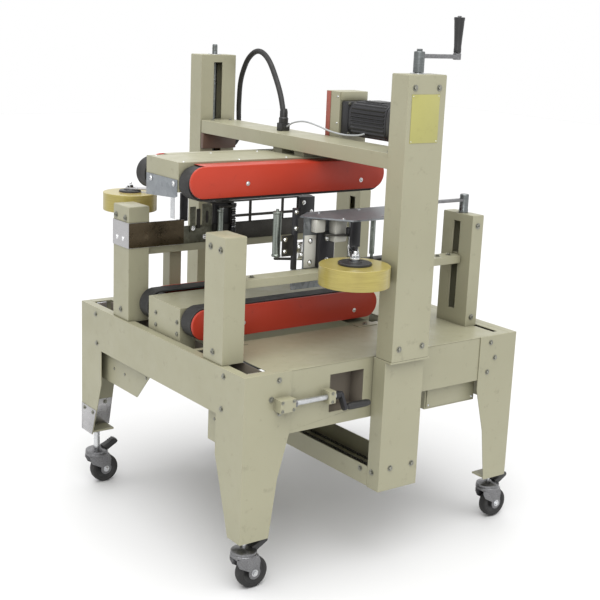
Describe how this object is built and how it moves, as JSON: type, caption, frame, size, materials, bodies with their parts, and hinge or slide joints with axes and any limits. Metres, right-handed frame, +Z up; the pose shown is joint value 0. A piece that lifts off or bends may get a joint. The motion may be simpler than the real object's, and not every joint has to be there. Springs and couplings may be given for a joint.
{
  "type": "carton sealer",
  "caption": "Floor-standing carton sealer that carries a carton between powered upper and lower belts past two side tape heads, with crank-raised gantry and crank-set width.",
  "frame": {"origin": "on the floor under the middle of the whole machine's box, which is (0.019, -0.0255) m from the middle of the table", "axes": "+X is the way cartons travel, so -X is the infeed end; -Y is the operator's side, where the mast with the crank stands; +Z is up"},
  "size_m": [1.128, 1.239, 1.684],
  "materials": {
    "cream_paint": "satin powder coat",
    "orange_paint": "semi-gloss enamel",
    "black_rubber": "matt",
    "black_plastic": "satin",
    "bare_steel": "zinc plated and machined",
    "grey_plate": "dull galvanised",
    "stainless": "bright stainless sheet",
    "yellow_tape": "wound clear-brown tape",
    "grey_cable": "cable sheath"
  },
  "bodies": {
    "frame": {"end_frame_infeed": "cream_paint", "end_frame_outfeed": "cream_paint", "side_rail_near": "cream_paint", "side_rail_far": "cream_paint", "table_plate": "cream_paint", "column_near": "cream_paint", "column_far": "cream_paint", "chain_channel": "cream_paint", "mast_near": "cream_paint", "mast_far": "cream_paint", "lower_drive_housing": "cream_paint", "lower_guard_near": "orange_paint", "lower_guard_far": "orange_paint", "lower_belt_near": "black_rubber", "lower_belt_far": "black_rubber", "lower_motor": "black_plastic", "electrical_box": "cream_paint", "conduit": "black_rubber"},
    "lift_drive": {"lift_crank": "bare_steel", "lift_screw_near": "bare_steel"},
    "lift_grip": {"lift_crank_grip": "black_plastic"},
    "lift_idler": {"lift_screw_far": "bare_steel"},
    "gantry": {"gantry_beam": "cream_paint", "upper_drive_housing": "cream_paint", "infeed_guide_plate": "grey_plate", "upper_drive_cover": "cream_paint", "upper_motor": "black_plastic", "motor_cable": "grey_cable", "upper_guard_near": "orange_paint", "upper_guard_far": "orange_paint", "upper_belt_near": "black_rubber", "upper_belt_far": "black_rubber"},
    "upper_infeed_pulleys": {"upper_roller_infeed": "bare_steel"},
    "upper_outfeed_pulleys": {"upper_roller_outfeed": "bare_steel"},
    "lower_infeed_pulleys": {"lower_roller_infeed": "bare_steel"},
    "lower_outfeed_pulleys": {"lower_roller_outfeed": "bare_steel"},
    "width_drive": {"width_crank": "bare_steel"},
    "near_carriage": {"post_infeed_near": "cream_paint", "post_outfeed_near": "cream_paint"},
    "far_carriage": {"post_infeed_far": "cream_paint", "post_outfeed_far": "cream_paint", "far_side_guide": "stainless", "far_head_pillar": "cream_paint"},
    "near_head_drive": {"head_crank": "bare_steel"},
    "near_head": {"head_bar_near": "cream_paint", "tape_head_near": "grey_plate"},
    "far_head": {"head_bar_far": "cream_paint", "tape_head_far": "grey_plate"},
    "near_roll": {"tape_roll_near": "yellow_tape"},
    "far_roll": {"tape_roll_far": "yellow_tape"},
    "near_tension_arm": {"roller_arm_near": "bare_steel"},
    "far_tension_arm": {"roller_arm_far": "bare_steel"},
    "fork_infeed_near": {"caster_fork_infeed_near": "bare_steel"},
    "wheel_infeed_near": {"caster_wheel_infeed_near": "black_rubber"},
    "fork_infeed_far": {"caster_fork_infeed_far": "bare_steel"},
    "wheel_infeed_far": {"caster_wheel_infeed_far": "black_rubber"},
    "fork_outfeed_near": {"caster_fork_outfeed_near": "bare_steel"},
    "wheel_outfeed_near": {"caster_wheel_outfeed_near": "black_rubber"},
    "fork_outfeed_far": {"caster_fork_outfeed_far": "bare_steel"},
    "wheel_outfeed_far": {"caster_wheel_outfeed_far": "black_rubber"}
  },
  "joints": [
    {"name": "lift_crank_turn", "type": "hinge", "parent": "frame", "child": "lift_drive", "pos_m": [-0.019, -0.5245, 1], "axis": [0, 0, 1], "range_deg": [-12960, 9360]},
    {"name": "lift_grip_spin", "type": "hinge", "parent": "lift_drive", "child": "lift_grip", "pos_m": [0.129, -0.5245, 1.6], "axis": [0, 0, 1], "continuous": true},
    {"name": "lift_idler_turn", "type": "hinge", "parent": "frame", "child": "lift_idler", "pos_m": [-0.019, 0.5755, 1], "axis": [0, 0, 1], "range_deg": [-12960, 9360]},
    {"name": "gantry_height", "type": "slide", "parent": "frame", "child": "gantry", "axis": [0, 0, 1], "range_m": [-0.13, 0.18], "deforming": ["conduit"]},
    {"name": "upper_drive_spin", "type": "hinge", "parent": "gantry", "child": "upper_outfeed_pulleys", "pos_m": [0.148, 0.0255, 1.164], "axis": [0, 1, 0], "continuous": true},
    {"name": "upper_infeed_spin", "type": "hinge", "parent": "gantry", "child": "upper_infeed_pulleys", "pos_m": [-0.497, 0.0255, 1.164], "axis": [0, 1, 0], "continuous": true},
    {"name": "lower_drive_spin", "type": "hinge", "parent": "frame", "child": "lower_outfeed_pulleys", "pos_m": [0.148, 0.0255, 0.733], "axis": [0, 1, 0], "continuous": true},
    {"name": "lower_infeed_spin", "type": "hinge", "parent": "frame", "child": "lower_infeed_pulleys", "pos_m": [-0.4815, 0.0255, 0.733], "axis": [0, 1, 0], "continuous": true},
    {"name": "width_crank_turn", "type": "hinge", "parent": "frame", "child": "width_drive", "pos_m": [-0.319, -0.5065, 0.575], "axis": [1, 0, 0], "range_deg": [-541, 10081]},
    {"name": "near_width", "type": "slide", "parent": "frame", "child": "near_carriage", "axis": [0, -1, 0], "range_m": [-0.006, 0.112]},
    {"name": "far_width", "type": "slide", "parent": "frame", "child": "far_carriage", "axis": [0, 1, 0], "range_m": [-0.006, 0.112]},
    {"name": "near_head_crank_turn", "type": "hinge", "parent": "near_carriage", "child": "near_head_drive", "pos_m": [0.436, -0.2865, 0.9], "axis": [0, 0, 1], "range_deg": [-5400, 7200]},
    {"name": "near_head_height", "type": "slide", "parent": "near_carriage", "child": "near_head", "axis": [0, 0, 1], "range_m": [-0.08, 0.06]},
    {"name": "far_head_height", "type": "slide", "parent": "far_carriage", "child": "far_head", "axis": [0, 0, 1], "range_m": [-0.08, 0.06]},
    {"name": "near_roll_spin", "type": "hinge", "parent": "near_head", "child": "near_roll", "pos_m": [-0.209, -0.5145, 0.94], "axis": [0, 0, 1], "continuous": true},
    {"name": "far_roll_spin", "type": "hinge", "parent": "far_head", "child": "far_roll", "pos_m": [-0.439, 0.4255, 1.03], "axis": [0, 0, 1], "continuous": true},
    {"name": "near_tension_swing", "type": "hinge", "parent": "near_head", "child": "near_tension_arm", "pos_m": [-0.169, -0.2325, 0.98], "axis": [0, 0, 1], "range_deg": [0, 22], "stiffness_Nm_per_rad": 0.6},
    {"name": "far_tension_swing", "type": "hinge", "parent": "far_head", "child": "far_tension_arm", "pos_m": [-0.149, 0.226, 0.98], "axis": [0, 0, 1], "range_deg": [0, 3], "stiffness_Nm_per_rad": 0.6},
    {"name": "swivel_infeed_near", "type": "hinge", "parent": "frame", "child": "fork_infeed_near", "pos_m": [-0.524, -0.4525, 0.14], "axis": [0, 0, 1], "continuous": true},
    {"name": "roll_infeed_near", "type": "hinge", "parent": "fork_infeed_near", "child": "wheel_infeed_near", "pos_m": [-0.496, -0.4525, 0.05], "axis": [0, 1, 0], "continuous": true},
    {"name": "swivel_infeed_far", "type": "hinge", "parent": "frame", "child": "fork_infeed_far", "pos_m": [-0.524, 0.5035, 0.14], "axis": [0, 0, 1], "continuous": true},
    {"name": "roll_infeed_far", "type": "hinge", "parent": "fork_infeed_far", "child": "wheel_infeed_far", "pos_m": [-0.496, 0.5035, 0.05], "axis": [0, 1, 0], "continuous": true},
    {"name": "swivel_outfeed_near", "type": "hinge", "parent": "frame", "child": "fork_outfeed_near", "pos_m": [0.486, -0.4525, 0.14], "axis": [0, 0, 1], "continuous": true},
    {"name": "roll_outfeed_near", "type": "hinge", "parent": "fork_outfeed_near", "child": "wheel_outfeed_near", "pos_m": [0.514, -0.4525, 0.05], "axis": [0, 1, 0], "continuous": true},
    {"name": "swivel_outfeed_far", "type": "hinge", "parent": "frame", "child": "fork_outfeed_far", "pos_m": [0.486, 0.5035, 0.14], "axis": [0, 0, 1], "continuous": true},
    {"name": "roll_outfeed_far", "type": "hinge", "parent": "fork_outfeed_far", "child": "wheel_outfeed_far", "pos_m": [0.514, 0.5035, 0.05], "axis": [0, 1, 0], "continuous": true}
  ],
  "couplings": [
    {"joint": "gantry_height", "follows": "lift_crank_turn", "m_per_rad": -0.00079577},
    {"joint": "lift_idler_turn", "follows": "lift_crank_turn", "ratio": 1},
    {"joint": "upper_infeed_spin", "follows": "upper_drive_spin", "ratio": 1},
    {"joint": "lower_infeed_spin", "follows": "lower_drive_spin", "ratio": 1},
    {"joint": "far_width", "follows": "near_width", "ratio": 1},
    {"joint": "width_crank_turn", "follows": "near_width", "rad_per_m": 1570.8},
    {"joint": "near_head_height", "follows": "near_head_crank_turn", "m_per_rad": -0.00063662}
  ]
}
